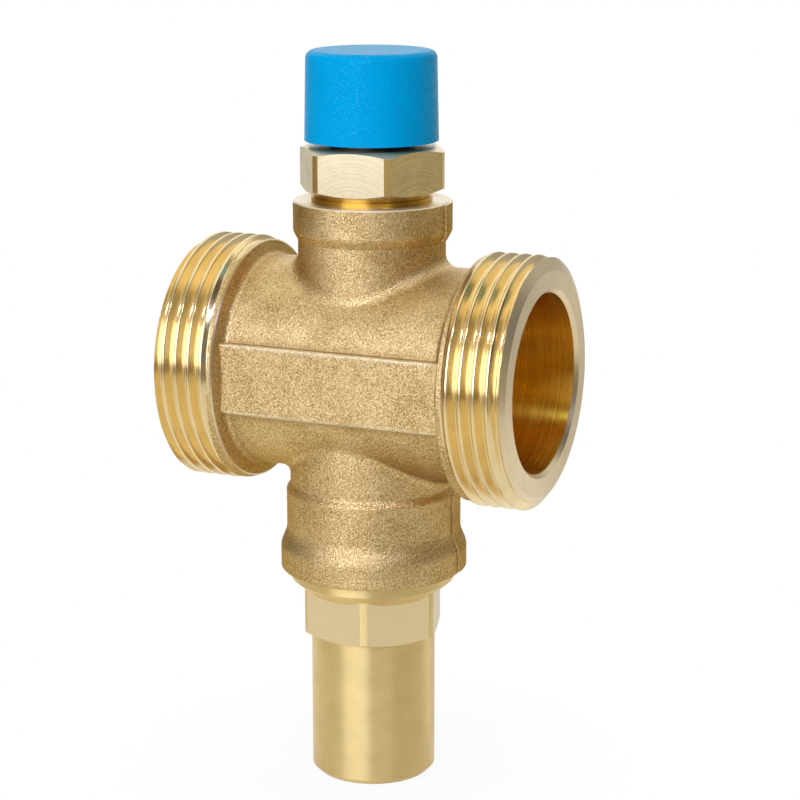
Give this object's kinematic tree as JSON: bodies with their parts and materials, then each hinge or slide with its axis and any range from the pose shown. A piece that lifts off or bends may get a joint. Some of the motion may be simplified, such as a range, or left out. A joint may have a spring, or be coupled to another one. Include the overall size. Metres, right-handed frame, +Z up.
{
  "type": "anti-freeze valve",
  "caption": "Brass anti-freeze valve for a heating pipe: a cross-shaped casting with threaded ports, a drain tail below and a vacuum breaker under a blue cap on top.",
  "frame": {"origin": "middle of the drain spigot's lower end, under the middle of the valve", "axes": "+Z up along the drain tail and the vacuum breaker, +X along the pipe, the casting's flat pad faces -Y"},
  "size_m": [0.0624, 0.042, 0.1241],
  "materials": {
    "cast_brass": "sand-blasted casting with machined threads and faces",
    "turned_brass": "bright turned",
    "blue_plastic": "fine pebbled satin",
    "black_rubber": "matte",
    "spring_steel": "drawn wire and turned stainless steel"
  },
  "bodies": {
    "housing": {"valve_body": "cast_brass", "drain_tail": "turned_brass", "tail_o_ring": "black_rubber", "breaker_housing": "turned_brass", "breaker_o_ring": "black_rubber", "breaker_cap": "blue_plastic", "breaker_spring": "spring_steel", "return_spring": "spring_steel", "element_cage": "turned_brass", "element_guide": "turned_brass", "guide_clip": "spring_steel", "element_cup": "turned_brass"},
    "shutter": {"drain_shutter": "turned_brass", "shutter_seal": "black_rubber", "seal_washer": "turned_brass", "seal_screw": "spring_steel", "element_piston": "spring_steel"},
    "poppet": {"breaker_poppet": "turned_brass", "poppet_seal": "black_rubber", "spring_keeper": "turned_brass", "keeper_clip": "spring_steel"}
  },
  "joints": [
    {"name": "shutter_slide", "type": "slide", "parent": "housing", "child": "shutter", "axis": [0, 0, 1], "range_m": [0, 0.003], "stiffness_N_per_m": 200, "springref_m": -0.003, "deforming": ["return_spring"]},
    {"name": "poppet_slide", "type": "slide", "parent": "housing", "child": "poppet", "axis": [0, 0, 1], "range_m": [-0.003, 0], "stiffness_N_per_m": 100, "springref_m": 0.003, "deforming": ["breaker_spring"]}
  ]
}
